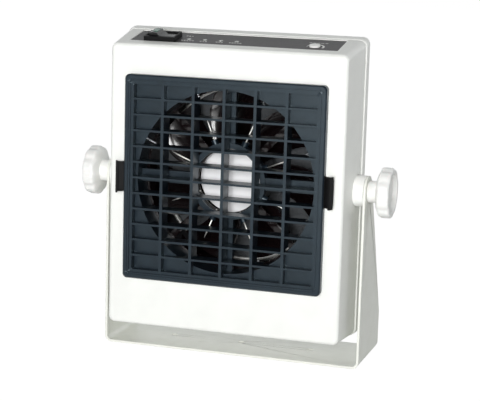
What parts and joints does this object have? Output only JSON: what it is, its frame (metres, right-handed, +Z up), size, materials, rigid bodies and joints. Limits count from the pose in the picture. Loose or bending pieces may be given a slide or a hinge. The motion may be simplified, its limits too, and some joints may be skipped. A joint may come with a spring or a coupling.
{
  "type": "ionizing blower",
  "caption": "Bench-top ionizing air blower: flared case tilting in a bent-sheet stand, axial fan behind emitter needles and a pull-off grille, clamp knobs, controls on the sloping top.",
  "frame": {"origin": "centre of the middle bench hole, on the underside of the stand's base", "axes": "+Z up from the bench, the air leaves towards -Y (the front), +X to the viewer's right when looking at the front"},
  "size_m": [0.2072, 0.0832, 0.213],
  "materials": {
    "stand_paint": "powder coated sheet steel",
    "knob_plastic": "moulded, satin",
    "stud_steel": "zinc plated",
    "spacer_plastic": "turned",
    "insert_brass": "turned, knurled",
    "case_plastic": "moulded, fine grain",
    "screw_steel": "zinc plated",
    "grille_plastic": "moulded, satin",
    "latch_plastic": "moulded, satin",
    "emitter_plastic": "moulded",
    "needle_metal": "ground",
    "bus_brass": "stamped",
    "earth_steel": "stamped",
    "fan_plastic": "moulded, glossy",
    "label_film": "bare label film",
    "stator_copper": "laminated steel with enamelled windings",
    "bearing_steel": "ground",
    "magnet_ferrite": "sintered",
    "module_resin": "potted",
    "board_laminate": "solder mask",
    "strip_film": "printed film",
    "switch_plastic": "moulded",
    "lens_green": "clear, tinted",
    "lamp_lens": "diffused",
    "dial_plastic": "moulded",
    "pot_body": "moulded",
    "inlet_plastic": "moulded",
    "inlet_contacts": "nickel plated",
    "terminal_brass": "nickel free brass",
    "filter_plastic": "moulded",
    "filter_foam": "open-cell foam"
  },
  "bodies": {
    "stand": {"stand_bracket": "stand_paint"},
    "case": {"front_case": "case_plastic", "rear_cover": "case_plastic", "cover_screw_1": "screw_steel", "cover_screw_2": "screw_steel", "cover_screw_3": "screw_steel", "cover_screw_4": "screw_steel", "spacer_left": "spacer_plastic", "spacer_right": "spacer_plastic", "insert_left": "insert_brass", "insert_right": "insert_brass", "emitter_frame": "emitter_plastic", "frame_screws": "screw_steel", "needle_1": "needle_metal", "needle_2": "needle_metal", "needle_3": "needle_metal", "needle_4": "needle_metal", "needle_5": "needle_metal", "needle_6": "needle_metal", "needle_7": "needle_metal", "needle_8": "needle_metal", "bus_ring": "bus_brass", "earth_ring": "earth_steel", "fan_frame": "fan_plastic", "motor_label": "label_film", "stator": "stator_copper", "bearing_front": "bearing_steel", "bearing_rear": "bearing_steel", "fan_screws": "screw_steel", "hv_module": "module_resin", "power_board": "board_laminate", "control_board": "board_laminate", "control_strip": "strip_film", "rocker_housing": "switch_plastic", "lamp_1": "lamp_lens", "lamp_2": "lamp_lens", "lamp_3": "lamp_lens", "lamp_4": "lamp_lens", "speed_pot": "pot_body", "power_inlet": "inlet_plastic", "inlet_pins": "inlet_contacts", "earth_terminal": "terminal_brass"},
    "knob_left_unit": {"knob_left": "knob_plastic", "stud_left": "stud_steel"},
    "knob_right_unit": {"knob_right": "knob_plastic", "stud_right": "stud_steel"},
    "grille_unit": {"grille": "grille_plastic"},
    "latch_left_unit": {"latch_left": "latch_plastic"},
    "latch_right_unit": {"latch_right": "latch_plastic"},
    "fan_rotor": {"rotor": "fan_plastic", "magnet_ring": "magnet_ferrite", "fan_shaft": "bearing_steel"},
    "rocker_unit": {"rocker": "switch_plastic", "rocker_lens": "lens_green"},
    "dial_unit": {"dial": "dial_plastic"},
    "filter_unit": {"filter_frame": "filter_plastic", "filter_pad": "filter_foam"}
  },
  "joints": [
    {"name": "case_tilt", "type": "hinge", "parent": "stand", "child": "case", "pos_m": [0, -0.0185, 0.1152], "axis": [1, 0, 0], "range_deg": [-90, 90]},
    {"name": "knob_left_turn", "type": "hinge", "parent": "case", "child": "knob_left_unit", "pos_m": [-0.094, -0.0185, 0.1152], "axis": [1, 0, 0], "continuous": true},
    {"name": "knob_right_turn", "type": "hinge", "parent": "case", "child": "knob_right_unit", "pos_m": [0.094, -0.0185, 0.1152], "axis": [1, 0, 0], "continuous": true},
    {"name": "grille_pull", "type": "slide", "parent": "case", "child": "grille_unit", "axis": [0, -1, 0], "range_m": [0, 0.02]},
    {"name": "latch_left_press", "type": "hinge", "parent": "grille_unit", "child": "latch_left_unit", "pos_m": [-0.064, -0.0501, 0.118], "axis": [0, 0, 1], "range_deg": [0, 10], "stiffness_Nm_per_rad": 0.04, "springref_deg": -5.73},
    {"name": "latch_right_press", "type": "hinge", "parent": "grille_unit", "child": "latch_right_unit", "pos_m": [0.064, -0.0501, 0.118], "axis": [0, 0, -1], "range_deg": [0, 10], "stiffness_Nm_per_rad": 0.04, "springref_deg": -5.73},
    {"name": "fan_spin", "type": "hinge", "parent": "case", "child": "fan_rotor", "pos_m": [0, -0.017, 0.118], "axis": [0, 1, 0], "continuous": true},
    {"name": "rocker_tip", "type": "hinge", "parent": "case", "child": "rocker_unit", "pos_m": [-0.0492, -0.03017, 0.20546], "axis": [0, 0.9836, 0.1805], "range_deg": [-24, 0]},
    {"name": "dial_turn", "type": "hinge", "parent": "case", "child": "dial_unit", "pos_m": [0.052, -0.03078, 0.20657], "axis": [0, -0.1805, 0.9836], "range_deg": [-140, 140]},
    {"name": "filter_pull", "type": "slide", "parent": "case", "child": "filter_unit", "axis": [0, 1, 0], "range_m": [0, 0.02]}
  ]
}
